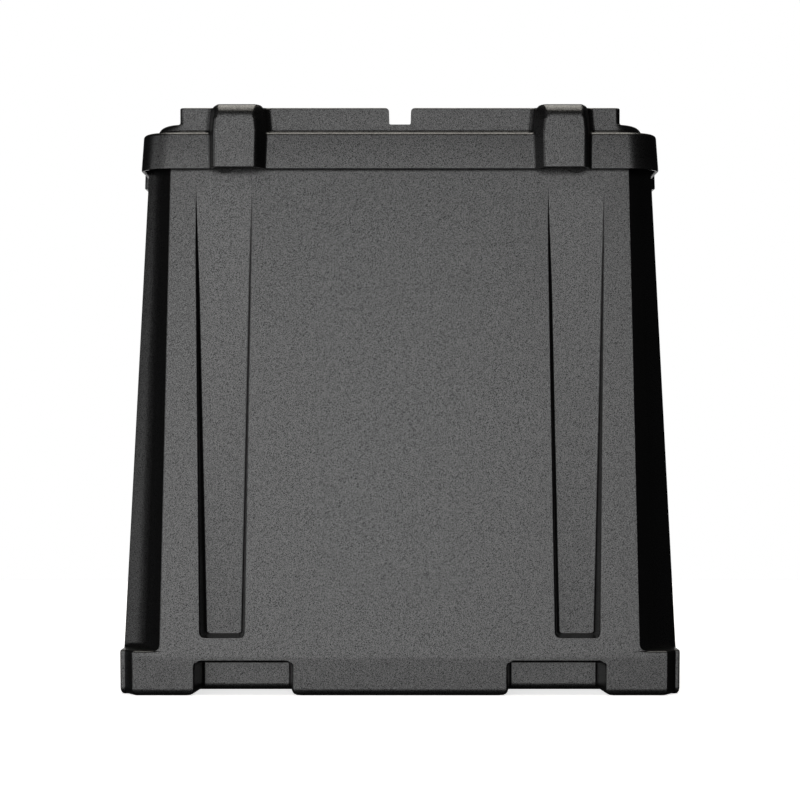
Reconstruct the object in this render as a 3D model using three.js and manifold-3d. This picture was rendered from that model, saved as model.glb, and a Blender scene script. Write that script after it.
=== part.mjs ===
// Battery box for two tall deep-cycle batteries, standing side by side.
//
// An outer casing flares towards the floor and stands on a base band with foot pockets. A separate
// tub hangs in it and holds the batteries, with a divider between them. A lift-off lid closes the top.
// Six cable outlets sit under hoods of the lid, and each has a rubber grommet.
//
// Millimetres, +Z up. The origin is on the floor, at the middle of the footprint. The front faces -Y.

import * as THREE from "three";
import { mergeVertices } from "three/addons/utils/BufferGeometryUtils.js";
import Module from "manifold-3d";

const wasm = await Module();
wasm.setup();

// ---------------------------------------------------------------- driving dimensions

const WALL = 4; // casing
const TUB_WALL = 3.5;
const GAP = 0.3; // between pieces that touch
const LEAN = { front: leanOf(3), side: leanOf(2.77) }; // of the casing's walls

const BASE = { halfX: 235.5, halfY: 190, height: 37.5, leanFrom: 32 };
const BASE_CORNER = { x: 11.7, y: 16.7, step: 4 }; // notch in each corner of the base band

const CASING_TOP = 463;
const SIDE_HALF_X = 235.4; // side panels, at the height where they start to lean
const PANEL_EDGE = { low: 201, high: 193.6 }; // half width of the front panel, at the base and at the top
const FLUTE_DEPTH = { low: 42, high: 33 }; // how far back the fluted corner reaches
const FLUTE_BEND = { x: 0.39, y: 0.63 }; // its bend, as shares of its width and depth from the panel's edge

const STRAP = { x: 148.7, floorY: 169.1, bottom: 50.5, halfLow: 15.3, halfHigh: 24.5, flare: 3.4 };
const POCKET = { x: 130.9, halfWidth: 41, height: 27.6, depth: 45, draft: 4 };
const OUTLET = { x: 148.5, z: 450.6, wallRadius: 9.2 };

const TUB = { halfX: 185.5, halfY: 159, floorHalfX: 184, floorHalfY: 157.5, corner: 8, floor: 42 };
const RIBS = { xs: [0, 92, 176], half: 2, reach: 130 }; // under the tub, down to the floor
const TUB_FLANGE = { z: CASING_TOP + GAP, thick: 3.5 };
const DIVIDER = { thick: 5, top: 380, guide: 3.5, guideWall: 4, corner: 12 };
const SCREW = { x: 201, ys: [-105, -55, 55, 105], headRadius: 4.2, shaftRadius: 2, length: 21, tip: 4 };
const BOSS = { radius: 5, low: 435, web: { reach: 11, half: 2.5 }, hole: 440 }; // that the screws go into

const LID = { wall: 3, halfX: 220, halfY: 176, corner: 28, bottom: 442, ledge: 472, draft: 2, roof: 4.9 };
const TIER = { halfX: 206, halfY: 161, corner: 24, top: 482.5, draft: 0.8 };
const PLATEAU = { halfX: 185, halfY: 161, corner: 5, innerTrim: 1, top: 494, draft: 1.2 };
const CHANNEL = { halfWidth: 9.25, floor: 481, halfLength: 170 };
const HOOD = { x: 136.5, reach: 12.6, halfBack: 23.5, halfFront: 17.5, top: 496 };
const HOOD_SIDE = { round: 11, run: 45, lean: 1.4 }; // seen from the side: front edge, length, lean of the face

const GROMMET = { flange: 11.4, neck: 8.9, bore: 7, lip: 2, standOff: 2 }; // the inner flange clears the leaning wall

const PAST = 5; // how far a cutting solid runs past the surface that it opens
const ROUND = 6; // steps in a quarter turn of a plan corner
const HOLE_SIDES = { small: 12, head: 16, outlet: 20 };

function leanOf(degrees) {
  return Math.tan(THREE.MathUtils.degToRad(degrees));
}

// ---------------------------------------------------------------- solids from three.js geometry

function solidOf(geometry) {
  const bare = geometry.index ? geometry.toNonIndexed() : geometry.clone();
  const points = new THREE.BufferGeometry();
  points.setAttribute("position", bare.getAttribute("position"));
  const merged = mergeVertices(points, 1e-4);
  return new wasm.Manifold(
    new wasm.Mesh({
      numProp: 3,
      vertProperties: merged.getAttribute("position").array,
      triVerts: new Uint32Array(merged.index.array),
    }),
  );
}

function geometryOf(solid) {
  const made = solid.getMesh();
  const geometry = new THREE.BufferGeometry();
  const positions = new Float32Array(made.vertProperties);
  geometry.setAttribute("position", new THREE.BufferAttribute(positions, 3));
  geometry.setIndex(new THREE.BufferAttribute(new Uint32Array(made.triVerts), 1));
  geometry.computeVertexNormals();
  return geometry;
}

const union = (...solids) => solids.reduce((whole, piece) => whole.add(piece));
const cut = (solid, ...tools) => tools.reduce((rest, tool) => rest.subtract(tool), solid);

// A closed solid through rings of equally many [x, y] points, anticlockwise, from the lowest to the highest.
function loft(rings) {
  const count = rings[0].points.length;
  const positions = rings.flatMap(({ z, points }) => points.flatMap(([x, y]) => [x, y, z]));
  const index = [];
  for (let level = 0; level + 1 < rings.length; level++)
    for (let i = 0; i < count; i++) {
      const a = level * count + i;
      const b = level * count + ((i + 1) % count);
      index.push(a, b, b + count, a, b + count, a + count);
    }
  addCap(index, rings[0].points, 0, true);
  addCap(index, rings.at(-1).points, (rings.length - 1) * count, false);
  const geometry = new THREE.BufferGeometry();
  geometry.setAttribute("position", new THREE.Float32BufferAttribute(positions, 3));
  geometry.setIndex(index);
  return solidOf(geometry);
}

function addCap(index, points, first, facesDown) {
  const outline = points.map(([x, y]) => new THREE.Vector2(x, y));
  for (const face of THREE.ShapeUtils.triangulateShape(outline, [])) {
    const anticlockwise = THREE.ShapeUtils.area(face.map((i) => outline[i])) > 0;
    const [a, b, c] = face.map((i) => first + i);
    if (anticlockwise === facesDown) index.push(a, c, b);
    else index.push(a, b, c);
  }
}

function box(x0, x1, y0, y1, z0, z1) {
  const geometry = new THREE.BoxGeometry(x1 - x0, y1 - y0, z1 - z0);
  geometry.translate((x0 + x1) / 2, (y0 + y1) / 2, (z0 + z1) / 2);
  return solidOf(geometry);
}

// A round solid turned about +Z from [radius, z] points, then laid along X or Y if asked.
function turned(profile, segments, axis = "z") {
  const points = profile.map(([r, z]) => new THREE.Vector2(r, z));
  const geometry = new THREE.LatheGeometry(points, segments);
  geometry.rotateX(Math.PI / 2);
  if (axis === "x") geometry.rotateY(Math.PI / 2);
  if (axis === "y") geometry.rotateX(-Math.PI / 2);
  return solidOf(geometry);
}

function rod(radius, z0, z1, segments, axis) {
  return turned([[0, z0], [radius, z0], [radius, z1], [0, z1]], segments, axis);
}

const mirrorX = (solid) => solid.mirror([1, 0, 0]);
const mirrorY = (solid) => solid.mirror([0, 1, 0]);
const leftAndRight = (solid) => solid.add(mirrorX(solid));
const fourWays = (solid) => leftAndRight(solid.add(mirrorY(solid)));

// ---------------------------------------------------------------- plan outlines

function roundedRectangle(halfX, halfY, radius) {
  const points = [];
  for (const [sx, sy, start] of [[1, 1, 0], [-1, 1, 90], [-1, -1, 180], [1, -1, 270]])
    for (let i = 0; i <= ROUND; i++) {
      const turn = THREE.MathUtils.degToRad(start + (90 * i) / ROUND);
      points.push([
        sx * (halfX - radius) + radius * Math.cos(turn),
        sy * (halfY - radius) + radius * Math.sin(turn),
      ]);
    }
  return points;
}

// The outline whose first quarter, from the +X side round to the +Y side, is given.
function fromQuarter(quarter) {
  const mirrored = quarter.map(([x, y]) => [-x, y]).reverse();
  const turnedHalf = ([x, y]) => [-x, -y];
  return [...quarter, ...mirrored, ...quarter.map(turnedHalf), ...mirrored.map(turnedHalf)];
}

// Half depth and half width of the panels at a height: upright at the base, leaning inwards above it.
const frontY = (z) => BASE.halfY - LEAN.front * Math.max(0, z - BASE.leanFrom);
const sideX = (z) => SIDE_HALF_X - LEAN.side * Math.max(0, z - BASE.leanFrom);
const share = (z) => (z - BASE.height) / (CASING_TOP - BASE.height);
const blend = ({ low, high }, z) => low + (high - low) * share(z);

// A quarter outline from a side panel to the front panel, moved inwards by the same amount all along.
function insetQuarter(quarter, inset) {
  const first = quarter[0].clone().sub(new THREE.Vector2(0, 1));
  const last = quarter.at(-1).clone().sub(new THREE.Vector2(1, 0));
  const points = [first, ...quarter, last];
  const inward = (a, b) => {
    const along = b.clone().sub(a).normalize();
    return new THREE.Vector2(-along.y, along.x);
  };
  return quarter.map((point, i) => {
    const before = inward(points[i], points[i + 1]);
    const after = inward(points[i + 1], points[i + 2]);
    const move = before.clone().add(after).multiplyScalar(inset / (1 + before.dot(after)));
    return [point.x + move.x, point.y + move.y];
  });
}

// Plan of the casing above its base band. Each corner is a flute: a face that looks outwards from
// the side panel's edge, a rounded bend, and a steeper wall that runs forwards to the front panel.
function casingOutline(z, inset) {
  const edge = blend(PANEL_EDGE, z);
  const depth = blend(FLUTE_DEPTH, z);
  const start = new THREE.Vector2(sideX(z), frontY(z) - depth);
  const end = new THREE.Vector2(edge, frontY(z));
  const bend = new THREE.Vector2(edge + FLUTE_BEND.x * (start.x - edge), frontY(z) - FLUTE_BEND.y * depth);
  const straight = 0.45; // share of each face that is flat
  const into = start.clone().lerp(bend, straight);
  const outOf = bend.clone().lerp(end, straight);
  const curve = new THREE.QuadraticBezierCurve(into, bend, outOf);
  return fromQuarter(insetQuarter([start, ...curve.getPoints(4), end], inset));
}

// Plan of the base band, whose corners are notched: a short step inwards from the side, then a
// slanting face that runs forwards.
function baseOutline(z, inset) {
  const front = frontY(z);
  const { x, y, step } = BASE_CORNER;
  const start = new THREE.Vector2(BASE.halfX, front - y);
  const corner = new THREE.Vector2(BASE.halfX - step, front - y);
  const end = new THREE.Vector2(BASE.halfX - x, front);
  return fromQuarter(insetQuarter([start, corner, end], inset));
}

// ---------------------------------------------------------------- outer casing

// The upright strap groove: its floor is plumb, so that it fades out as the panel leans back to it.
function strapGroove(grow) {
  const { x, floorY, bottom, halfLow, halfHigh, flare } = STRAP;
  const front = BASE.halfY + 2 * PAST;
  const back = floorY - grow;
  const section = (z, half) => ({
    z,
    points: [
      [x - half - flare - grow, -front],
      [x + half + flare + grow, -front],
      [x + half + grow, -back],
      [x - half - grow, -back],
    ],
  });
  return loft([section(bottom - grow, halfLow), section(CASING_TOP + PAST, halfHigh)]);
}

// Foot pocket in the front wall, open to the front and to the floor, or grown to its own walls.
function footPocket(grow) {
  const { halfWidth, height, depth, draft } = POCKET;
  const front = grow ? BASE.halfY : BASE.halfY + PAST;
  const back = BASE.halfY - depth - grow;
  const under = grow ? 0 : -PAST;
  const section = (z) => ({
    z,
    points: [
      [-halfWidth - grow, -front],
      [halfWidth + grow, -front],
      [halfWidth + grow - draft, -back],
      [-halfWidth - grow + draft, -back],
    ],
  });
  return loft([section(under), section(height + grow)]);
}

function atFoot(grow) {
  const front = footPocket(grow).translate([POCKET.x, 0, 0]);
  const side = footPocket(grow).translate([0, BASE.halfY, 0]).rotate([0, 0, 90]);
  return union(fourWays(front), leftAndRight(side.translate([BASE.halfX, 0, 0])));
}

// Holes on the six outlets' centre lines, through whatever wall is there.
function outletHoles(radius) {
  const reach = 30;
  const hole = (axis) => rod(radius, -reach, reach, HOLE_SIDES.outlet, axis);
  const frontHole = hole("y").translate([OUTLET.x, -frontY(OUTLET.z), OUTLET.z]);
  const sideHole = hole("x").translate([sideX(OUTLET.z), 0, OUTLET.z]);
  return union(fourWays(frontHole), leftAndRight(sideHole));
}

function atScrews(solid) {
  return union(...SCREW.ys.map((y) => leftAndRight(solid.translate([SCREW.x, y, 0]))));
}

function makeCasing() {
  const bandTop = BASE.height;
  const band = loft([
    { z: 0, points: baseOutline(0, 0) },
    { z: BASE.leanFrom, points: baseOutline(BASE.leanFrom, 0) },
    { z: bandTop, points: baseOutline(bandTop, 0) },
  ]);
  const body = loft([
    { z: bandTop - 1, points: casingOutline(bandTop - 1, 0) },
    { z: CASING_TOP, points: casingOutline(CASING_TOP, 0) },
  ]);
  const bandInside = loft([
    { z: -1, points: baseOutline(0, WALL) },
    { z: bandTop - WALL, points: baseOutline(0, WALL) },
  ]);
  const bodyInside = loft([
    { z: bandTop - WALL - 1, points: casingOutline(bandTop - WALL - 1, WALL) },
    { z: CASING_TOP + 1, points: casingOutline(CASING_TOP + 1, WALL) },
  ]);
  const grooves = fourWays(strapGroove(0));
  const hollow = cut(union(bandInside, bodyInside), fourWays(strapGroove(WALL)));
  const { radius, low, web, hole } = BOSS;
  const boss = union(
    rod(radius, low, CASING_TOP, HOLE_SIDES.head),
    box(0, web.reach, -web.half, web.half, low, CASING_TOP),
  );
  const shell = cut(union(band, body), hollow, grooves);
  const screwHole = rod(SCREW.shaftRadius + GAP, hole, CASING_TOP + 1, HOLE_SIDES.small);
  return cut(
    union(shell, atFoot(WALL), atScrews(boss)),
    atFoot(0),
    outletHoles(OUTLET.wallRadius),
    atScrews(screwHole),
  );
}

// ---------------------------------------------------------------- battery tub

function tubBlock(grow, z0, z1) {
  const { halfX, halfY, floorHalfX, floorHalfY, corner, floor } = TUB;
  const section = (z) => {
    const t = (z - floor) / (CASING_TOP - floor);
    const x = floorHalfX + (halfX - floorHalfX) * t + grow;
    const y = floorHalfY + (halfY - floorHalfY) * t + grow;
    return { z, points: roundedRectangle(x, y, corner + grow) };
  };
  return loft([section(z0), section(z1)]);
}

function makeTub() {
  const under = TUB.floor - TUB_WALL;
  const flangeTop = TUB_FLANGE.z + TUB_FLANGE.thick;
  const ribs = RIBS.xs.map((x) =>
    leftAndRight(box(x - RIBS.half, x + RIBS.half, -RIBS.reach, RIBS.reach, 0, under + 1)),
  );
  const flange = loft([
    { z: TUB_FLANGE.z, points: casingOutline(CASING_TOP, 0) },
    { z: flangeTop, points: casingOutline(CASING_TOP, 0) },
  ]);
  const guideFrom = DIVIDER.thick / 2 + GAP;
  const guide = box(
    guideFrom,
    guideFrom + DIVIDER.guideWall,
    TUB.floorHalfY - DIVIDER.guide,
    TUB.floorHalfY + 2,
    TUB.floor - 1,
    DIVIDER.top,
  );
  const countersink = turned(
    [[0, -SCREW.headRadius - GAP], [SCREW.headRadius + GAP, 0], [SCREW.headRadius + GAP, 1], [0, 1]],
    HOLE_SIDES.head,
  ).translate([0, 0, flangeTop]);
  const screwHole = rod(SCREW.shaftRadius + GAP, CASING_TOP - PAST, flangeTop + 1, HOLE_SIDES.small);
  const block = union(tubBlock(TUB_WALL, under, CASING_TOP + 1), flange, ...ribs);
  return cut(
    union(cut(block, tubBlock(0, TUB.floor, flangeTop + PAST)), fourWays(guide)),
    outletHoles(OUTLET.wallRadius),
    atScrews(union(countersink, screwHole)),
  );
}

function makeDivider() {
  const { thick, corner } = DIVIDER;
  const reach = TUB.floorHalfY - 2 * GAP;
  const outline = new THREE.Shape();
  outline.moveTo(-reach, TUB.floor + GAP);
  outline.lineTo(reach, TUB.floor + GAP);
  outline.lineTo(reach, DIVIDER.top - corner);
  outline.lineTo(reach - corner, DIVIDER.top);
  outline.lineTo(-reach + corner, DIVIDER.top);
  outline.lineTo(-reach, DIVIDER.top - corner);
  outline.closePath();
  const plate = new THREE.ExtrudeGeometry(outline, { depth: thick, bevelEnabled: false });
  plate.rotateX(Math.PI / 2);
  plate.rotateZ(Math.PI / 2);
  plate.translate(-thick / 2, 0, 0);
  return solidOf(plate);
}

// ---------------------------------------------------------------- lid

// One cable hood on the front: a side profile drawn across the rim, narrowing towards its face.
function hoodBlock(inset) {
  const { reach, halfBack, halfFront, top } = HOOD;
  const { round, run, lean } = HOOD_SIDE;
  const face = LID.halfY + reach - inset;
  const low = LID.bottom - (inset ? PAST : 0);
  const crown = top - inset;
  const rear = LID.halfY - run;
  const root = LID.halfY - LID.wall - LID.draft - 1; // inside the hollow of the skirt
  const turns = 4;
  const profile = [[face, low]];
  for (let i = 0; i <= turns; i++) {
    const turn = (Math.PI / 2) * (i / turns);
    profile.push([face - lean - round + round * Math.cos(turn), crown - round + round * Math.sin(turn)]);
  }
  profile.push([rear, Math.min(crown, PLATEAU.top - 0.5 - inset)]);
  profile.push([rear, LID.ledge - 2]);
  profile.push([root, LID.ledge - 2]);
  profile.push([root, low]);
  const shape = new THREE.Shape(profile.map(([y, z]) => new THREE.Vector2(y, z)));
  const width = 2 * halfBack;
  const slab = new THREE.ExtrudeGeometry(shape, { depth: width, bevelEnabled: false });
  slab.rotateX(Math.PI / 2);
  slab.rotateZ(-Math.PI / 2);
  slab.translate(halfBack, 0, 0);
  const plan = [
    [-halfFront + inset, -face - 1],
    [halfFront - inset, -face - 1],
    [halfBack - inset, -LID.halfY + 2],
    [halfBack - inset, -rear + PAST],
    [-halfBack + inset, -rear + PAST],
    [-halfBack + inset, -LID.halfY + 2],
  ];
  const trim = loft([{ z: LID.bottom - 2 * PAST, points: plan }, { z: top + PAST, points: plan }]);
  return solidOf(slab).intersect(trim);
}

function hoods(inset) {
  const front = hoodBlock(inset).translate([HOOD.x, 0, 0]);
  const side = hoodBlock(inset).translate([0, LID.halfY, 0]).rotate([0, 0, 90]);
  return union(fourWays(front), leftAndRight(side.translate([LID.halfX, 0, 0])));
}

function lidBlock(inset) {
  const drop = inset ? PAST : 0;
  const roof = inset ? LID.roof : 0;
  const outline = (draft) =>
    roundedRectangle(LID.halfX - draft - inset, LID.halfY - draft - inset, LID.corner - inset);
  const skirt = loft([
    { z: LID.bottom - drop, points: outline(0) },
    { z: LID.ledge - roof, points: outline(LID.draft) },
  ]);
  const raised = ({ halfX, halfY, draft }, corner, top) =>
    loft([
      { z: LID.ledge - 8, points: roundedRectangle(halfX - inset, halfY - inset, corner) },
      { z: top - inset, points: roundedRectangle(halfX - draft - inset, halfY - draft - inset, corner) },
    ]);
  const tier = raised(TIER, TIER.corner - inset, TIER.top);
  const channelHalf = CHANNEL.halfWidth + inset;
  const length = CHANNEL.halfLength;
  const channel = box(-channelHalf, channelHalf, -length, length, CHANNEL.floor - inset, PLATEAU.top + PAST);
  const plateau = raised(PLATEAU, PLATEAU.corner - (inset ? PLATEAU.innerTrim : 0), PLATEAU.top);
  return union(skirt, cut(union(tier, plateau, hoods(inset)), channel));
}

const makeLid = () => cut(lidBlock(0), lidBlock(LID.wall));

// ---------------------------------------------------------------- small pieces

// A grommet on +Z: a flange outside the casing wall, a neck through both walls and a flange inside.
function grommet(wallThickness) {
  const { flange, neck, bore, lip } = GROMMET;
  const outer = wallThickness;
  return new THREE.LatheGeometry(
    [
      [bore, -lip],
      [flange - 1, -lip],
      [flange - 1, 0],
      [neck, 0],
      [neck, outer],
      [flange, outer],
      [flange, outer + lip],
      [bore, outer + lip],
      [bore, -lip],
    ].map(([r, z]) => new THREE.Vector2(r, z)),
    HOLE_SIDES.outlet,
  );
}

function screw() {
  const { headRadius, shaftRadius, length, tip } = SCREW;
  return new THREE.LatheGeometry(
    [
      [0, -length],
      [shaftRadius * 0.4, -length],
      [shaftRadius, -length + tip],
      [shaftRadius, -headRadius + shaftRadius],
      [headRadius, 0],
      [0, 0],
    ].map(([r, z]) => new THREE.Vector2(r, z)),
    14,
  );
}

// ---------------------------------------------------------------- the assembly

const blackPlastic = new THREE.MeshStandardMaterial({ color: 0x17181a, roughness: 0.45, metalness: 0 });
const tubPlastic = new THREE.MeshStandardMaterial({ color: 0x1d1e20, roughness: 0.55, metalness: 0 });
const rubber = new THREE.MeshStandardMaterial({ color: 0x0b0b0b, roughness: 0.8, metalness: 0 });
const steel = new THREE.MeshStandardMaterial({ color: 0xb4b4b0, roughness: 0.35, metalness: 1 });

function named(name, geometry, material) {
  const mesh = new THREE.Mesh(geometry, material);
  mesh.name = name;
  return mesh;
}

const batteryBox = new THREE.Group();
batteryBox.add(named("outer_casing", geometryOf(makeCasing()), blackPlastic));
batteryBox.add(named("battery_tub", geometryOf(makeTub()), tubPlastic));
batteryBox.add(named("battery_divider", geometryOf(makeDivider()), tubPlastic));
batteryBox.add(named("lid", geometryOf(makeLid()), blackPlastic));

// Outlets: where the tub's inner wall face is, and where the casing's outer face is, from the middle.
const outletY = { inside: TUB.halfY - GROMMET.standOff, outside: frontY(OUTLET.z - GROMMET.flange) + GAP };
const outletX = { inside: TUB.halfX - GROMMET.standOff, outside: sideX(OUTLET.z - GROMMET.flange) + GAP };

function addGrommet(name, x, y, turn, { inside, outside }) {
  const mesh = named(name, grommet(outside - inside), rubber);
  mesh.position.set(x, y, OUTLET.z);
  mesh.rotation.z = turn;
  batteryBox.add(mesh);
}

for (const [side, sign] of [["left", -1], ["right", 1]]) {
  addGrommet(`front_${side}_cable_grommet`, sign * OUTLET.x, -outletY.inside, Math.PI, outletY);
  addGrommet(`rear_${side}_cable_grommet`, sign * OUTLET.x, outletY.inside, 0, outletY);
  addGrommet(`${side}_side_cable_grommet`, sign * outletX.inside, 0, (-sign * Math.PI) / 2, outletX);
  SCREW.ys.forEach((y, i) => {
    const mesh = named(`${side}_rim_screw_${i + 1}`, screw(), steel);
    mesh.position.set(sign * SCREW.x, y, TUB_FLANGE.z + TUB_FLANGE.thick);
    mesh.rotation.x = Math.PI / 2;
    batteryBox.add(mesh);
  });
}

export default batteryBox;
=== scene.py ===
"""Looks of the battery box: filleted mouldings, grained plastic, rubber and steel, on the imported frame."""

import math

import bmesh
import bpy
import numpy as np
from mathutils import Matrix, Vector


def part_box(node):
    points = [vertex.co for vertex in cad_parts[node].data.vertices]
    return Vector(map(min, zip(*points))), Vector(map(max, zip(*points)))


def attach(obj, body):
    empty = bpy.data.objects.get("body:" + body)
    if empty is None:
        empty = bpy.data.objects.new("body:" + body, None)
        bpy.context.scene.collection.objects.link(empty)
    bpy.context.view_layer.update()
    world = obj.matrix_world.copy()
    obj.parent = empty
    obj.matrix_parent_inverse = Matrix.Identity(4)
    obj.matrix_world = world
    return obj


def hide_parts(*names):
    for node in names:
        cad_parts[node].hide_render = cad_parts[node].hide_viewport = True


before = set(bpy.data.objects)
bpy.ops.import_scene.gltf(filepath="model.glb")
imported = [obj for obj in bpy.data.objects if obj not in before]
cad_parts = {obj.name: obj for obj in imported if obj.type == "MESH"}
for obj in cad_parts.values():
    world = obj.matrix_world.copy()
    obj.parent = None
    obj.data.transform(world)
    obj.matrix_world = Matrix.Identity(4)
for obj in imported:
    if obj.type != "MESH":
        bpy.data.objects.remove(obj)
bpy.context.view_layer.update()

# ---------------------------------------------------------------- driving dimensions, in millimetres

CASING_HIGH = 1000 * np.array(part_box("outer_casing")[1])
LID_LOW, LID_HIGH = (1000 * np.array(corner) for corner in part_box("lid"))
BASE_X, BASE_Y, CASING_TOP = CASING_HIGH

WALL = 4.0
LEAN_FROM = 32.0  # the walls are upright below this height
LEAN = {"front": math.tan(math.radians(3)), "side": math.tan(math.radians(2.77))}
SIDE_X = BASE_X + 0.2
BAND_TOP = 37.5
BAND_DRAFT = 0.3  # how far the band's face falls back at the floor
FOOT = {"in": 3.2, "up": 5.0}  # rounded lower edge of the band
BAND_NOTCH = {"x": 11.7, "y": 13.5, "strip": 4.0}  # cut out of each corner of the band, beside a strip
NOTCH_ROUND = (1.2, 1.0, 1.6)  # the notch's corners, from the side to the front
PANEL_EDGE = (201.0, 193.6)  # half width of the front panel, at the base and at the top
FLUTE_DEPTH = (42.0, 33.0)  # how far back the fluted corner reaches, at the base and at the top
FLUTE_BEND = (0.39, 0.63)  # its bend, as shares of its width and depth from the panel's edge
FLUTE_FLAT = 0.45  # share of each face of the flute that is flat
FLUTE_STEPS = {"flat": 60, "bend": 80}  # of its dense outline
FLUTE_EDGE = {"outside": 1.6, "inside": 0.5}  # rounded edges between the flute and the panels
FLUTE_SHIFT = 0.44  # how far the flute's end moves along the side panel, per unit of wall thickness
RECESS_ROUND = {"convex": 1.6, "concave": 2.0}  # upright edges of the grooves and the pockets
RECESS_LIMIT = {"convex": 0.6, "concave": 0.45}  # and the most that these take of the recess's depth
LEDGE_ROUND, LEDGE_ROOT = 2.0, 5.0  # outer edge and root of the ledge on top of the band
GROOVE = {"x": 148.7, "floor": 169.1, "bottom": 50.5, "low": 15.3, "high": 24.5, "flare": 0.15}
GROOVE_END = {"slope": 2.5, "face": 4.7, "floor": 2.4}  # height of its sloped end, radii of its corners
POCKET = {"x": 130.9, "half": 41.0, "height": 27.6, "depth": 45.0, "draft": 4.0}
POCKET_END = {"lip": 2.0, "face": 6.0, "floor": 4.0}  # rounded edge of its ceiling, radii of its corners
POCKET_FLARE = 3.0  # rounding of its side walls at the floor
OUTLET = {"x": 148.5, "z": 450.6, "radius": 9.2}
SCREW = {"x": 201.0, "ys": (-105, -55, 55, 105), "hole": 2.3, "hole_low": 440.0}
BOSS = {"radius": 5.0, "low": 435.0, "web": 11.0, "web_half": 2.5}

LID_X, LID_Y, LID_CORNER, LID_DRAFT, LID_WALL = 220.5, 176.0, 28.0, 2.0, 3.0
LID_BOTTOM = LID_LOW[2]
LEDGE, LEDGE_EDGE = 473.0, (3.0, 3.0, 2.7)  # its height, and its edge's rounding along X, Y and Z
ROOF = 4.9  # thickness under the ledge
TIER = {"x": 207.0, "y": 161.0, "corner": 24.0, "top": 481.0, "edge": (7.0, 6.0)}  # edge: along X, up
PLATEAU = {"x": 186.8, "corner": 4.0, "top": 495.4, "edge": 1.2}
LID_LIP = 0.8  # rounded lower edge of the skirt
SKIRT_MIDDLE = 455.0
PLATEAU_ROOT = 2.0  # concave fillet at the foot of the plateau's sides
UPPER_DRAFT = 0.04  # of the walls above the ledge, per unit of height
ROOT = 3.0  # concave fillet where a wall rises from the ledge
HOOD = {"x": 136.5, "reach": 12.6, "half": 23.8, "lean": 1.4, "run": 45.0}
HOOD_FACE = {"outer": 19.8, "inner": 15.0, "side": 17.5}  # half widths of the hoods' faces
HOOD_TOP = {"front": LID_HIGH[2], "side": 490.0}
HOOD_ROUND = {"front": 11.0, "side": 6.5}  # upper edges of the faces
HOOD_SHOULDER = 5.0  # upper edges of the sides
HOOD_TAPER = 0.1  # of the sides above the ledge, per unit of height
HOOD_ROOT = 6.0  # fillet where a hood leaves the tier
HOOD_FALL = 0.055  # of the hood's top towards the middle of the lid
HOOD_EDGE = 4.0  # upright edges of the hoods' faces
CHANNEL = {"half": 9.25, "floor": 481.2, "round": 1.5, "flare": 3.5}

# places of points on flat stretches, so that all rings of a shell have their points in the same order
BAND_STOPS = (8, 5, 3, 1.5)  # beyond the ledge's root
BAND_SHOULDER = {"low": 0.5, "high": 4, "count": 10}
SIDE_STOPS, FRONT_STOPS = (60, 100), (60, 20, 0)
LID_SIDE_STOPS, LID_FRONT_STOPS = (60, 110), (80, 40, 0)
PLAIN_RECESS = {"face": 10.0, "floor": 8.0, "side": (20, 36)}

ARC = 5  # steps in a small fillet
FILLET_REACH = 0.48  # the most that a fillet takes of the line on either side of it
QUARTER = np.linspace(0, math.pi / 2, 5)
SHORT = 1e-6  # lines below this length have no direction
STRAIGHT = 1e-4  # and turns below this angle need no fillet


# ---------------------------------------------------------------- outlines of one quarter, in plan

def fillet(corners):
    """Points of a polyline of (x, y, radius), rounded in ARC steps, or left as it is if radius is None."""
    pts = [np.array(corner[:2], float) for corner in corners]
    out = [pts[0]]
    for i in range(1, len(pts) - 1):
        radius = corners[i][2]
        if radius is None:
            out.append(pts[i])
            continue
        before, after = pts[i - 1] - pts[i], pts[i + 1] - pts[i]
        length_before, length_after = np.linalg.norm(before), np.linalg.norm(after)
        if min(length_before, length_after) < SHORT:
            out += [pts[i]] * (ARC + 1)
            continue
        before, after = before / length_before, after / length_after
        turn = math.pi - math.acos(max(-1.0, min(1.0, float(before @ after))))
        if turn < STRAIGHT:
            out += [pts[i]] * (ARC + 1)
            continue
        longest = FILLET_REACH * min(length_before, length_after)
        reach = min(radius * math.tan(turn / 2), longest)
        start, end = pts[i] + before * reach, pts[i] + after * reach
        bow = reach / math.tan(turn / 2)
        middle = pts[i] + (before + after) / np.linalg.norm(before + after) * math.hypot(bow, reach)
        for share in np.linspace(0, 1, ARC + 1):
            a = math.sin((1 - share) * turn) / math.sin(turn)
            b = math.sin(share * turn) / math.sin(turn)
            out.append(middle + a * (start - middle) + b * (end - middle))
    out.append(pts[-1])
    return np.array(out)


def whole(quarter):
    """The closed outline whose first quarter, from the +X side round to the +Y side, is given."""
    left_rear = (quarter * (-1, 1))[::-1]
    return np.vstack([quarter, left_rear, -quarter, (quarter * (1, -1))[::-1]])


def bezier(start, control, end, steps):
    t = np.linspace(0, 1, steps + 1)[:, None]
    return (1 - t) ** 2 * start + 2 * t * (1 - t) * control + t ** 2 * end


def between(pair, z):
    return pair[0] + (pair[1] - pair[0]) * (z - BAND_TOP) / (CASING_TOP - BAND_TOP)


def front_y(z):
    return BASE_Y - LEAN["front"] * max(0.0, z - LEAN_FROM)


def side_x(z):
    return SIDE_X - LEAN["side"] * max(0.0, z - LEAN_FROM)


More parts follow.
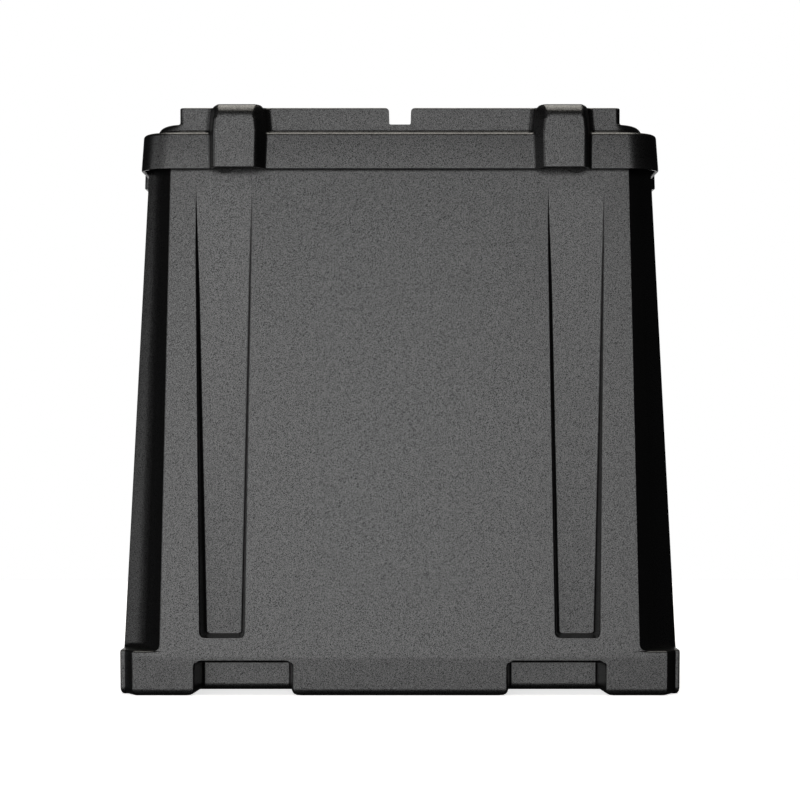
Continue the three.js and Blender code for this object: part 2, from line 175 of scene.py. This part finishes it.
def flute(z):
    """Dense points of the corner flute, from the side panel to the front panel: flat, bend and flat."""
    edge, depth = between(PANEL_EDGE, z), between(FLUTE_DEPTH, z)
    start = np.array([side_x(z), front_y(z) - depth])
    bend = np.array([edge + FLUTE_BEND[0] * (start[0] - edge), front_y(z) - FLUTE_BEND[1] * depth])
    end = np.array([edge, front_y(z)])
    into = start + FLUTE_FLAT * (bend - start)
    out_of = bend + FLUTE_FLAT * (end - bend)
    first = np.linspace(start, into, FLUTE_STEPS["flat"], endpoint=False)
    last = np.linspace(out_of, end, FLUTE_STEPS["flat"] + 1)[1:]
    return np.vstack([first, bezier(into, bend, out_of, FLUTE_STEPS["bend"]), last])


def offset(curve, distance):
    """The curve moved to its left, which is inwards on an outline that runs anticlockwise."""
    slope = np.gradient(curve, axis=0)
    slope /= np.linalg.norm(slope, axis=1)[:, None]
    return curve + np.column_stack([-slope[:, 1], slope[:, 0]]) * np.reshape(distance, (-1, 1))


def band_corner(inset):
    """Corner of the base band outside the flute, with its notch, as rounded points."""
    x, y = BASE_X - inset, BASE_Y - inset
    low, high = BASE_Y - FLUTE_DEPTH[0], PANEL_EDGE[0] + LEDGE_ROOT
    start, shoulder = low + BAND_SHOULDER["low"], BASE_Y - BAND_NOTCH["y"] - BAND_SHOULDER["high"]
    return fillet([
        *[(x, side_y, None) for side_y in np.linspace(start, shoulder, BAND_SHOULDER["count"])],
        (x, y - BAND_NOTCH["y"], NOTCH_ROUND[0]),
        (x - BAND_NOTCH["strip"], y - BAND_NOTCH["y"], NOTCH_ROUND[1]),
        (x - BAND_NOTCH["x"], y, NOTCH_ROUND[2]),
        *[(high + stop, y, None) for stop in BAND_STOPS],
    ])


def along_flute():
    """Place along the flute of each point of the band's corner, so that the ledge's edges run outwards."""
    curve, corner = flute(BAND_TOP), band_corner(0)
    bearings = np.arctan2(curve[:, 1], curve[:, 0])
    wanted = np.arctan2(corner[:, 1], corner[:, 0])
    return np.interp(wanted, bearings, np.linspace(0, 1, len(curve)))


END = 0.06  # share of the flute that its end fillets take
FLUTE_PLACES = END + (1 - 2 * END) * along_flute()


def flute_points(z, inset, spread=0.0):
    """The flute's points at a height. spread moves them outwards, less so near the side panel."""
    curve = offset(flute(z), inset)
    steps = np.linspace(0, 1, len(curve))
    if spread:
        curve = offset(curve, -spread * np.minimum(1, steps / 0.25))
    return np.column_stack([np.interp(FLUTE_PLACES, steps, curve[:, i]) for i in (0, 1)])


# ---------------------------------------------------------------- outer casing

def rounded_end(reach_in, radius):
    """How much narrower a recess with rounded ends is, this far inside its end."""
    if reach_in >= radius:
        return 0.0
    return radius - math.sqrt(max(0.0, radius ** 2 - (radius - max(reach_in, 0.0)) ** 2))


def recess(centre, half_face, half_floor, face, floor):
    """Corners of a recess in the front panel, from its outer edge to its inner edge."""
    deep = max(0.0, face - floor)
    convex, concave = (min(RECESS_ROUND[kind], RECESS_LIMIT[kind] * deep) for kind in RECESS_ROUND)
    return [
        (centre + half_face, face, convex),
        (centre + half_floor, floor, concave),
        (centre - half_floor, floor, concave),
        (centre - half_face, face, convex),
    ]


def casing_ring(z, notch, side_notch, inset=0.0, band=False, ledge=0.0):
    """One closed outline of the casing, with the band's corner or the flute, and the two recesses given."""
    lean = BAND_DRAFT * max(0.0, 1 - z / LEAN_FROM)
    face = front_y(z) - inset - lean
    side = (BASE_X - lean if z < LEAN_FROM else side_x(z)) - inset
    edge = between(PANEL_EDGE, max(z, BAND_TOP)) - inset + (0 if band else ledge)
    back = front_y(z) - between(FLUTE_DEPTH, max(z, BAND_TOP)) - FLUTE_SHIFT * inset
    if band:
        corner, ease = band_corner(ledge + inset + lean), 0.0
    else:
        corner, ease = flute_points(z, inset, ledge), FLUTE_EDGE["inside" if inset else "outside"]
    return z, fillet([
        *side_notch(side),
        *[(side, y, None) for y in SIDE_STOPS],
        (side, BASE_Y - FLUTE_DEPTH[0] if band else back, ease),
        *[(x, y, None) for x, y in corner],
        (edge, face, ease),
        (edge - 6, face, None),
        *notch(face),
        *[(x, face, None) for x in FRONT_STOPS],
    ])


def pocket_ring(z, inset=0.0, depth=POCKET["depth"], **corner):
    """A ring through the band and its foot pockets, which are rounded on top and flared at the floor."""
    ceiling, lip = POCKET["height"] + inset, 0.0 if inset else POCKET_END["lip"]
    flare = POCKET_FLARE - math.sqrt(max(0.0, POCKET_FLARE ** 2 - max(0.0, POCKET_FLARE - z) ** 2))
    half = POCKET["half"] + inset + flare
    at_face = half - rounded_end(ceiling + lip - z, POCKET_END["face"])
    draft = POCKET["draft"] * depth / POCKET["depth"]
    at_floor = min(half - rounded_end(ceiling - z, POCKET_END["floor"]) - draft, at_face - 0.05)

    def notch(face):
        return recess(POCKET["x"], at_face, at_floor, face, min(face, BASE_Y - depth - inset))

    def side_notch(side):
        floor = min(side, BASE_X - depth - inset)
        deep = side - floor
        return [
            (floor, 0, None),
            (floor, at_floor, min(RECESS_ROUND["concave"], RECESS_LIMIT["concave"] * deep)),
            (side, at_face, min(RECESS_ROUND["convex"], RECESS_LIMIT["convex"] * deep)),
        ]

    return casing_ring(z, notch, side_notch, inset, **corner)


def plain_side(side):
    return [(side, 0, None), *[(side, y, 0.0) for y in PLAIN_RECESS["side"]]]


def plain_ring(z, inset=0.0, **corner):
    """A ring without any recess."""

    def notch(face):
        return recess(GROOVE["x"], PLAIN_RECESS["face"], PLAIN_RECESS["floor"], face, face)

    return casing_ring(z, notch, plain_side, inset, **corner)


def groove_ring(z, inset=0.0):
    """A ring through the panels with the strap grooves. Their ends slope, and their floors are plumb."""
    bottom = GROOVE["bottom"] - inset
    foot = bottom - GROOVE_END["slope"]
    up = max(0.0, (z - bottom) / (CASING_TOP + 5 - bottom))
    half = GROOVE["low"] + (GROOVE["high"] - GROOVE["low"]) * up + inset
    share = min(1.0, (z - foot) / GROOVE_END["slope"])

    def notch(face):
        full = max(0.0, face - GROOVE["floor"] + inset)
        at_face = half + GROOVE["flare"] * full - rounded_end(z - foot, GROOVE_END["face"])
        at_floor = half - rounded_end(z - bottom, GROOVE_END["floor"])
        at_floor = at_face + (min(at_floor, at_face) - at_face) * share
        return recess(GROOVE["x"], at_face, at_floor, face, face - full * share)

    return casing_ring(z, notch, plain_side, inset)


def casing_outside():
    ceiling, corner, lip = POCKET["height"], POCKET_END["face"], POCKET_END["lip"]
    rings = []
    for a in QUARTER:
        rings.append(pocket_ring(FOOT["up"] * (1 - math.cos(a)), FOOT["in"] * (1 - math.sin(a)), band=True))
    rings += [pocket_ring(z, band=True) for z in (6.0, 14.0)]
    rings += [pocket_ring(z, band=True) for z in np.linspace(ceiling - corner, ceiling, 8)]
    for a in QUARTER[:-1]:
        up = lip * math.sin(a)
        rings.append(pocket_ring(ceiling + up + 0.01, depth=lip * (1 - math.sin(a)), band=True))
    rings.append(pocket_ring(ceiling + lip, depth=0.0, band=True))
    rings += [plain_ring(z, band=True) for z in (LEAN_FROM - 0.4, LEAN_FROM + 0.4)]
    for a in QUARTER:
        up = LEDGE_ROUND * (1 - math.sin(a))
        rings.append(plain_ring(BAND_TOP - up, band=True, ledge=LEDGE_ROUND * (1 - math.cos(a))))
    for a in QUARTER:
        up = LEDGE_ROOT * (1 - math.cos(a))
        rings.append(plain_ring(BAND_TOP + up, ledge=LEDGE_ROOT * (1 - math.sin(a))))
    bottom, slope = GROOVE["bottom"], GROOVE_END["slope"]
    rings.append(plain_ring(bottom - slope - 1))
    rings += [groove_ring(z) for z in np.linspace(bottom - slope, bottom, 7)]
    rings += [groove_ring(z) for z in np.linspace(bottom, bottom + GROOVE_END["floor"], 6)[1:]]
    rings += [groove_ring(z) for z in np.linspace(bottom + 6, CASING_TOP - 30, 26)]
    rings.append(groove_ring(CASING_TOP))
    return rings


def casing_inside():
    low = GROOVE["bottom"] - WALL
    ceiling = POCKET["height"] + WALL
    rings = [groove_ring(z, WALL) for z in np.linspace(CASING_TOP, low, 10)]
    rings += [groove_ring(low - GROOVE_END["slope"], WALL), plain_ring(BAND_TOP + 3, WALL)]
    rings += [plain_ring(BAND_TOP - WALL, WALL), plain_ring(BAND_TOP - WALL, WALL, band=True)]
    rings.append(pocket_ring(ceiling, WALL, depth=0.0, band=True))
    for z in np.linspace(ceiling - 0.1, ceiling - POCKET_END["face"], 5):
        rings.append(pocket_ring(z, WALL, band=True))
    rings.append(pocket_ring(0.0, WALL, band=True))
    return rings


# ---------------------------------------------------------------- lid

def hood_side(base, wall, out, shrink, face, root):
    """One side of a hood in plan, from its face to the wall: (from the hood's middle, outwards, radius)."""
    bend = base - LID_DRAFT

    def half_at(place):
        narrowing = (HOOD["half"] - HOOD_FACE[face]) / (HOOD["reach"] + LID_DRAFT + 1)
        return HOOD["half"] - shrink - narrowing * max(0.0, place - bend)

    middle = min(max(bend, wall + 4), out - 2)
    return [(half_at(out), out, HOOD_EDGE), (half_at(middle), middle, None), (half_at(wall), wall, root)]


def lid_ring(z, x, y, corner_x, corner_y, out_x, out_y, shrink=0.0, root=ROOT):
    """One outline of the lid: walls at x and y, an elliptic corner, and hood faces at out_x and out_y."""
    side = hood_side(LID_X, x, out_x, shrink, "side", root)
    outer = hood_side(LID_Y, y, out_y, shrink, "outer", root)
    inner = hood_side(LID_Y, y, out_y, shrink, "inner", root)
    turn = np.linspace(0, math.pi / 2, 13)
    arc = zip(x - corner_x * (1 - np.cos(turn)), y - corner_y * (1 - np.sin(turn)))
    return z, fillet([
        (out_x, 0, None),
        *[(place, half, radius) for half, place, radius in side],
        *[(x, stop, None) for stop in LID_SIDE_STOPS],
        *[(arc_x, arc_y, None) for arc_x, arc_y in arc],
        *[(HOOD["x"] + half, place, radius) for half, place, radius in reversed(outer)],
        (HOOD["x"], out_y, None),
        *[(HOOD["x"] - half, place, radius) for half, place, radius in inner],
        *[(stop, y, None) for stop in LID_FRONT_STOPS],
    ])


def hood_face(z):
    """How far a hood's face stands out from the lid's widest outline: it leans back a little."""
    straight = HOOD_TOP["front"] - HOOD_ROUND["front"] - LID_BOTTOM
    return HOOD["reach"] - HOOD["lean"] * min(1.0, (z - LID_BOTTOM) / straight)


def skirt_ring(z, inset=0.0, edge=0.0):
    """A ring through the skirt. edge goes from 0, its wall, to 1, the inner end of its rounded top edge."""
    back = LID_DRAFT * (z - LID_BOTTOM) / (LEDGE - LID_BOTTOM) + inset
    out = hood_face(z) - inset
    x, y = LID_X - back - LEDGE_EDGE[0] * edge, LID_Y - back - LEDGE_EDGE[1] * edge
    round_x, round_y = LID_CORNER - inset - LEDGE_EDGE[0] * edge, LID_CORNER - inset - LEDGE_EDGE[1] * edge
    return lid_ring(z, x, y, round_x, round_y, LID_X + out, LID_Y + out, inset)


def upper_ring(z, x, corner_x, corner_y, inset=0.0, y_out=0.0):
    """A ring above the ledge, where the front wall of the tier and of the plateau is one."""
    back = UPPER_DRAFT * (z - LEDGE) + inset
    out = hood_face(z) - inset
    y = TIER["y"] - back + y_out
    shrink = inset + HOOD_TAPER * (z - LEDGE)
    return lid_ring(z, x - back, y, corner_x, corner_y, LID_X + out, LID_Y + out, shrink, HOOD_ROOT)


def top_ring(a, top, edge, inset=0.0):
    """A ring over the rounded top edge, at angle a. The hoods are higher and rounder than the plateau."""
    straight = top - PLATEAU["edge"]
    x, y = PLATEAU["x"] - inset, TIER["y"] - UPPER_DRAFT * (straight - LEDGE) - inset
    out = HOOD["reach"] - HOOD["lean"] - inset
    front_round, side_round = (HOOD_ROUND[face] - inset for face in ("front", "side"))

    def plan(turned):
        corner, at_edge = PLATEAU["corner"], edge * turned
        shrink = inset + HOOD_TAPER * (straight - LEDGE) + (HOOD_SHOULDER - inset) * turned
        return lid_ring(
            0, x - at_edge, y - at_edge, corner, corner,
            LID_X + out - side_round * turned, LID_Y + out - front_round * turned, shrink, HOOD_ROOT,
        )[1]

    start, outline = plan(0.0), plan(1 - math.cos(a))
    beyond = np.maximum(start[:, 0] - x, start[:, 1] - y)
    on_hood = np.clip(beyond / (LID_Y - LID_DRAFT - y), 0, 1)
    at_face = np.clip((beyond - (LID_Y - y)) / (out - 2), 0, 1)
    fallen = inset + HOOD_FALL * np.clip(LID_Y - y - beyond, 0, HOOD["run"])
    at_side = start[:, 0] - x > start[:, 1] - y
    hood_top = np.where(at_side, HOOD_TOP["side"], HOOD_TOP["front"]) - fallen
    tops = top + on_hood * (hood_top - top)
    face_round = at_face * (np.where(at_side, side_round, front_round) - edge)
    rounds = edge + np.maximum(face_round, on_hood * (HOOD_SHOULDER - inset - edge))
    return tops - rounds * (1 - math.sin(a)), outline


def lid_outside():
    rings = [skirt_ring(LID_BOTTOM, LID_LIP), skirt_ring(LID_BOTTOM + 0.25, 0.2)]
    rings += [skirt_ring(LID_BOTTOM + LID_LIP), skirt_ring(SKIRT_MIDDLE)]
    for a in QUARTER:
        rings.append(skirt_ring(LEDGE - LEDGE_EDGE[2] * (1 - math.sin(a)), edge=1 - math.cos(a)))
    x, corner, top = TIER["x"], TIER["corner"], TIER["top"]
    for a in QUARTER:
        out = ROOT * (1 - math.sin(a))
        z = LEDGE + ROOT * (1 - math.cos(a))
        rings.append(upper_ring(z, x + out, corner + out, corner + out, y_out=out))
    reach, rise = TIER["edge"]
    for a in np.linspace(math.asin(1 - (top - LEDGE - ROOT) / rise), math.pi / 2, 10):
        fall = reach * (1 - math.cos(a))
        rings.append(upper_ring(top - rise * (1 - math.sin(a)), x - fall, corner - fall, corner))
    x, corner = PLATEAU["x"] + UPPER_DRAFT * (top - LEDGE), PLATEAU["corner"]
    for a in QUARTER:
        out = PLATEAU_ROOT * (1 - math.sin(a))
        rings.append(upper_ring(top + PLATEAU_ROOT * (1 - math.cos(a)), x + out, corner, corner))
    edges = [top_ring(a, PLATEAU["top"], PLATEAU["edge"]) for a in np.linspace(0, math.pi / 2, 9)]
    inner = np.minimum(edges[-1][1], (LID_X - HOOD["run"], LID_Y - HOOD["run"]))
    return [*rings, *edges, (PLATEAU["top"], inner)]


def lid_inside():
    """From the hollow's roof down to the skirt's lower edge."""
    roof, hollow_top = LEDGE - ROOF, TIER["top"] - LID_WALL
    rings = [skirt_ring(LID_BOTTOM, LID_WALL - 0.5), skirt_ring(LID_BOTTOM + 0.5, LID_WALL)]
    rings.append(skirt_ring(roof, LID_WALL))
    corner = TIER["corner"] - LID_WALL
    rings.append(upper_ring(roof, TIER["x"], corner, corner, LID_WALL))
    rings.append(upper_ring(hollow_top, TIER["x"], corner, corner, LID_WALL))
    rings.append(upper_ring(hollow_top, PLATEAU["x"], 2.0, 2.0, LID_WALL))
    top = PLATEAU["top"] - LID_WALL
    edges = [top_ring(a, top, 0.5, LID_WALL) for a in QUARTER]
    low = np.minimum(edges[-1][0], top)
    edges = [(np.minimum(heights, top), outline) for heights, outline in edges]
    inner = np.minimum(edges[-1][1], (PLATEAU["x"] - LID_WALL - 5, TIER["y"] - LID_WALL - 5))
    return [*rings, *edges, (float(low.max()), inner)][::-1]


# ---------------------------------------------------------------- meshes

SHARP_EDGE = math.radians(38)
FACE_WEIGHT = 60
MERGE, DEGENERATE = 2e-6, 1e-6  # metres
HOLE_STEPS = {"boss": 24, "screw": 16, "outlet": 40}


def mesh_from_rings(name, rings, closed):
    """A surface through rings of (height, quarter outline), which runs back to its start or has end caps."""
    verts = []
    for height, quarter in rings:
        heights = np.full(len(quarter), height) if np.isscalar(height) else height
        heights = np.concatenate([heights, heights[::-1], heights, heights[::-1]])
        verts += np.column_stack([whole(quarter), heights]).tolist()
    count = 4 * len(rings[0][1])
    faces = []
    for level in range(len(rings) if closed else len(rings) - 1):
        here, there = level * count, ((level + 1) % len(rings)) * count
        for i in range(count):
            j = (i + 1) % count
            faces.append((here + i, here + j, there + j, there + i))
    if not closed:
        faces.append(tuple(range(count))[::-1])
        faces.append(tuple(range(len(verts) - count, len(verts))))
    return new_object(name, verts, faces)


def new_object(name, verts, faces):
    """An object from points in millimetres, with doubled points merged and its faces turned outwards."""
    mesh = bpy.data.meshes.new(name)
    mesh.from_pydata([[c / 1000 for c in vert] for vert in verts], [], faces)
    work = bmesh.new()
    work.from_mesh(mesh)
    bmesh.ops.remove_doubles(work, verts=work.verts, dist=MERGE)
    bmesh.ops.dissolve_degenerate(work, edges=work.edges, dist=DEGENERATE)
    bmesh.ops.recalc_face_normals(work, faces=work.faces)
    work.to_mesh(mesh)
    work.free()
    piece = bpy.data.objects.new(name, mesh)
    bpy.context.collection.objects.link(piece)
    return piece


def prism(outline, low, high, place):
    """A bar of this outline. place turns (a, b, along) into (x, y, z)."""
    count = len(outline)
    verts = [place(a, b, along) for along in (low, high) for a, b in outline]
    sides = [(i, (i + 1) % count, count + (i + 1) % count, count + i) for i in range(count)]
    ends = [tuple(range(count))[::-1], tuple(range(count, 2 * count))]
    return new_object("tool", verts, sides + ends)


def disc(radius, steps):
    turns = np.linspace(0, math.tau, steps, endpoint=False)
    return [(radius * math.cos(a), radius * math.sin(a)) for a in turns]


def combine(piece, tools, operation):
    """Joins the tools to the piece or cuts them out of it, for good."""
    for tool in tools:
        step = piece.modifiers.new("step", "BOOLEAN")
        step.operation = operation
        step.solver = "MANIFOLD"
        step.object = tool
    made = bpy.data.meshes.new_from_object(piece.evaluated_get(bpy.context.evaluated_depsgraph_get()))
    piece.modifiers.clear()
    piece.data = made
    for tool in tools:
        bpy.data.objects.remove(tool)


def soft_shading(piece):
    """Smooth shading that keeps edges above SHARP_EDGE, with normals that follow the larger faces."""
    for polygon in piece.data.polygons:
        polygon.use_smooth = True
    piece.data.set_sharp_from_angle(angle=SHARP_EDGE)
    even = piece.modifiers.new("even_normals", "WEIGHTED_NORMAL")
    even.weight = FACE_WEIGHT
    even.keep_sharp = True


def screw_boss(side, y):
    """The tools of one rim screw: its boss, the web that ties this to the wall, and its hole."""
    x, half = side * SCREW["x"], BOSS["web_half"]

    def upright(a, b, along):
        return x + a, y + b, along

    web = [(0, -half), (side * BOSS["web"], -half), (side * BOSS["web"], half), (0, half)]
    solid = [
        prism(outline, BOSS["low"], CASING_TOP - 0.01, upright)
        for outline in (disc(BOSS["radius"], HOLE_STEPS["boss"]), web)
    ]
    hole = prism(disc(SCREW["hole"], HOLE_STEPS["screw"]), SCREW["hole_low"], CASING_TOP + 1, upright)
    return solid, hole


def outlet_holes():
    """Cutters of the six cable outlets, each from halfway between the box's middle and its wall outwards."""
    outline = disc(OUTLET["radius"], HOLE_STEPS["outlet"])
    holes = []
    for x in (-OUTLET["x"], OUTLET["x"]):
        for low, high in ((-BASE_Y, -BASE_Y / 2), (BASE_Y / 2, BASE_Y)):
            holes.append(prism(outline, low, high, lambda a, b, c: (x + a, c, OUTLET["z"] + b)))
    for low, high in ((-BASE_X, -BASE_X / 2), (BASE_X / 2, BASE_X)):
        holes.append(prism(outline, low, high, lambda a, b, c: (c, a, OUTLET["z"] + b)))
    return holes


def make_casing():
    piece = mesh_from_rings("casing_shell", casing_outside() + casing_inside(), closed=True)
    bosses, holes = [], []
    for side in (-1, 1):
        for y in SCREW["ys"]:
            solid, hole = screw_boss(side, y)
            bosses += solid
            holes.append(hole)
    combine(piece, bosses, "UNION")
    combine(piece, holes + outlet_holes(), "DIFFERENCE")
    return piece


def channel_outline():
    """The channel's section in (x, z): a flat floor with rounded corners, and a flared mouth."""
    half, floor, curve, flare = CHANNEL["half"], CHANNEL["floor"], CHANNEL["round"], CHANNEL["flare"]
    top = PLATEAU["top"]
    right = [(half - curve + curve * math.sin(a), floor + curve * (1 - math.cos(a))) for a in QUARTER]
    right += [(half + flare * (1 - math.cos(a)), top - flare * (1 - math.sin(a))) for a in QUARTER]
    right.append((half + flare, top + 6))
    return right + [(-x, z) for x, z in reversed(right)]


def make_lid():
    piece = mesh_from_rings("lid_shell", lid_inside() + lid_outside(), closed=False)
    half, low, high = CHANNEL["half"] + LID_WALL, CHANNEL["floor"] - LID_WALL, PLATEAU["top"] - 1.5
    trough = [(-half, low), (half, low), (half, high), (-half, high)]
    reach = TIER["y"] - 2
    combine(piece, [prism(trough, -reach, reach, lambda a, b, c: (a, c, b))], "UNION")
    combine(piece, [prism(channel_outline(), -LID_Y, LID_Y, lambda a, b, c: (a, c, b))], "DIFFERENCE")
    return piece


casing = make_casing()
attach(casing, "box")
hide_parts("outer_casing")

lid = make_lid()
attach(lid, "lid")
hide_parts("lid")


# ---------------------------------------------------------------- materials

GRAIN_TURN = (0.6, 0.5, 0.4)  # of the noise against the object's axes, or its grid shows as bands
TONE_SCALE = 11.0  # of the slow changes
RUBBED = (0.52, 0.62)  # pointiness at which an edge starts to be rubbed, and is so wholly
GLOSS_SPREAD = 0.05
SHINE = (0.13, 0.87)  # least and greatest specular level


def add_node(material, kind, **settings):
    node = material.node_tree.nodes.new(kind)
    for name, value in settings.items():
        if name in node.inputs:
            node.inputs[name].default_value = value
        else:
            setattr(node, name, value)
    return node


def map_range(material, source, low, high, to_low, to_high):
    node = add_node(material, "ShaderNodeMapRange")
    for name, value in (("From Min", low), ("From Max", high), ("To Min", to_low), ("To Max", to_high)):
        node.inputs[name].default_value = value
    material.node_tree.links.new(source, node.inputs["Value"])
    return node.outputs["Result"]


def mixed(material, factor, first, second):
    """A colour between two, each a plain colour or a socket."""
    node = add_node(material, "ShaderNodeMix", data_type="RGBA")
    for value, socket in ((first, node.inputs[6]), (second, node.inputs[7])):
        if isinstance(value, tuple):
            socket.default_value = (*value, 1)
        else:
            material.node_tree.links.new(value, socket)
    material.node_tree.links.new(factor, node.inputs[0])
    return node.outputs[2]


def finish_of(name, dark, light, worn, roughness, grain, depth, metallic=0.0):
    """A surface with slow changes of tone, a fine grain in gloss, shine and relief, and rubbed edges."""
    material = bpy.data.materials.new(name)
    material.use_nodes = True
    link = material.node_tree.links.new
    body = material.node_tree.nodes["Principled BSDF"]
    body.inputs["Metallic"].default_value = metallic
    place = add_node(material, "ShaderNodeTexCoord")
    fine = add_node(material, "ShaderNodeTexNoise", Scale=grain, Detail=4.0, Roughness=0.7)
    slow = add_node(material, "ShaderNodeTexNoise", Scale=TONE_SCALE, Detail=5.0, Roughness=0.6)
    aslant = add_node(material, "ShaderNodeMapping")
    aslant.inputs["Rotation"].default_value = GRAIN_TURN
    link(place.outputs["Object"], aslant.inputs["Vector"])
    for texture in (fine, slow):
        link(aslant.outputs["Vector"], texture.inputs["Vector"])
    shape = add_node(material, "ShaderNodeNewGeometry")
    edges = map_range(material, shape.outputs["Pointiness"], *RUBBED, 0.0, 1.0)
    tone = mixed(material, slow.outputs["Fac"], dark, light)
    link(mixed(material, edges, tone, worn), body.inputs["Base Color"])
    rough = (roughness - GLOSS_SPREAD, roughness + GLOSS_SPREAD)
    gloss = map_range(material, fine.outputs["Fac"], 0.3, 0.7, *rough)
    link(gloss, body.inputs["Roughness"])
    glint = map_range(material, fine.outputs["Fac"], 0.4, 0.6, *SHINE)
    link(glint, body.inputs["Specular IOR Level"])
    bump = add_node(material, "ShaderNodeBump", Strength=1.0, Distance=depth)
    link(fine.outputs["Fac"], bump.inputs["Height"])
    link(bump.outputs["Normal"], body.inputs["Normal"])
    return material


casing_plastic = finish_of(
    "casing_plastic", dark=(0.002, 0.002, 0.0021), light=(0.0035, 0.0035, 0.0037), worn=(0.01, 0.01, 0.01),
    roughness=0.3, grain=1400, depth=0.00006,
)
tub_plastic = finish_of(
    "tub_plastic", dark=(0.016, 0.016, 0.017), light=(0.023, 0.023, 0.024), worn=(0.032, 0.032, 0.033),
    roughness=0.42, grain=300, depth=0.00003,
)
grommet_rubber = finish_of(
    "grommet_rubber", dark=(0.004, 0.004, 0.004), light=(0.008, 0.008, 0.008), worn=(0.014, 0.014, 0.014),
    roughness=0.75, grain=900, depth=0.00005,
)
screw_steel = finish_of(
    "screw_steel", dark=(0.48, 0.48, 0.46), light=(0.62, 0.62, 0.60), worn=(0.75, 0.75, 0.73),
    roughness=0.3, grain=1500, depth=0.00001, metallic=1.0,
)

for shell in (casing, lid):
    shell.data.materials.clear()
    shell.data.materials.append(casing_plastic)
    soft_shading(shell)


WELD = 1e-5  # metres
FLAT_ANGLE, BEVEL_ANGLE = math.radians(1), math.radians(40)  # faces merged below, edges rounded above
ROUND_EDGE = {"tub": 0.0008, "grommet": 0.0005, "screw": 0.0002}  # metres


def dress(node, material, round_edge):
    """Rounds the edges of a CAD node with modifiers and gives it its material."""
    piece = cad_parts[node]
    piece.data.materials.clear()
    piece.data.materials.append(material)
    weld = piece.modifiers.new("weld", "WELD")
    weld.merge_threshold = WELD
    flat = piece.modifiers.new("flat_faces", "DECIMATE")
    flat.decimate_type = "DISSOLVE"
    flat.angle_limit = FLAT_ANGLE
    bevel = piece.modifiers.new("round_edges", "BEVEL")
    bevel.limit_method = "ANGLE"
    bevel.angle_limit = BEVEL_ANGLE
    bevel.width = round_edge
    bevel.segments = 3
    soft_shading(piece)


dress("battery_tub", tub_plastic, ROUND_EDGE["tub"])
dress("battery_divider", tub_plastic, ROUND_EDGE["tub"])
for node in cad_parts:
    if node.endswith("_cable_grommet"):
        dress(node, grommet_rubber, ROUND_EDGE["grommet"])
    if "_rim_screw_" in node:
        dress(node, screw_steel, ROUND_EDGE["screw"])

# ---------------------------------------------------------------- camera, floor and light

# back: from the box's front face, in metres
CAMERA = {"back": 1.837, "height": 0.222, "sensor": 36, "lens": 99, "shift": 0.0375}
FLOOR_GLOW = 0.7
SKY = {"lighting": 0.01, "seen": 1.0}  # strength of the white surroundings

camera_data = bpy.data.cameras.new("camera")
camera_data.sensor_width = CAMERA["sensor"]
camera_data.lens = CAMERA["lens"]
camera_data.shift_y = CAMERA["shift"]
camera = bpy.data.objects.new("camera", camera_data)
camera.location = (0, -BASE_Y / 1000 - CAMERA["back"], CAMERA["height"])
camera.rotation_euler = (math.pi / 2, 0, 0)
bpy.context.collection.objects.link(camera)
bpy.context.scene.camera = camera
bpy.context.scene.view_settings.view_transform = "Standard"


def area_light(name, place, aim, width, height, power, colour=(1, 1, 1)):
    """A rectangular lamp at a place in metres, turned towards its aim."""
    data = bpy.data.lights.new(name, "AREA")
    data.shape = "RECTANGLE"
    data.size, data.size_y = width, height
    data.energy = power
    data.color = colour
    lamp = bpy.data.objects.new(name, data)
    lamp.location = place
    direction = np.array(aim, float) - np.array(place, float)
    yaw = math.atan2(direction[1], direction[0]) - math.pi / 2
    pitch = math.atan2(direction[2], math.hypot(direction[0], direction[1]))
    lamp.rotation_euler = (math.pi / 2 + pitch, 0, yaw)
    bpy.context.collection.objects.link(lamp)


area_light("front_softbox", (-1.3, -5.2, 0.6), (-1.3, 0, 0.6), 5.6, 3.0, 205)
area_light("left_softbox", (-2.3, -1.2, 0.45), (-0.2, 0, 0.25), 1.9, 1.5, 15)
area_light("top_softbox", (0, 0.0, 2.0), (0, 0.0, 0.45), 2.0, 1.3, 36, (1, 0.96, 0.88))
area_light("back_softbox", (0, 2.8, 0.6), (0, 0, 0.35), 1.8, 1.6, 10)

floor_mesh = bpy.data.meshes.new("floor")
floor_mesh.from_pydata([(-2, -3, 0), (2, -3, 0), (2, 1.2, 0), (-2, 1.2, 0)], [], [(0, 1, 2, 3)])
floor = bpy.data.objects.new("floor", floor_mesh)
bpy.context.collection.objects.link(floor)
floor_paint = bpy.data.materials.new("floor_paint")
floor_paint.use_nodes = True
paint = floor_paint.node_tree.nodes["Principled BSDF"]
paint.inputs["Base Color"].default_value = (0.9, 0.9, 0.9, 1)
paint.inputs["Roughness"].default_value = 0.9
paint.inputs["Emission Color"].default_value = (1, 1, 1, 1)
paint.inputs["Emission Strength"].default_value = FLOOR_GLOW
floor_mesh.materials.append(floor_paint)
floor.visible_glossy = False
floor.visible_diffuse = False
floor.visible_shadow = False

world = bpy.data.worlds.new("studio")
world.use_nodes = True
bpy.context.scene.world = world
sky = world.node_tree.nodes
background = sky["Background"]
rays = sky.new("ShaderNodeLightPath")
seen = sky.new("ShaderNodeMix")
seen.data_type = "FLOAT"
seen.inputs[2].default_value = SKY["lighting"]
seen.inputs[3].default_value = SKY["seen"]
world.node_tree.links.new(rays.outputs["Is Camera Ray"], seen.inputs[0])
world.node_tree.links.new(seen.outputs[0], background.inputs["Strength"])
background.inputs["Color"].default_value = (1, 1, 1, 1)
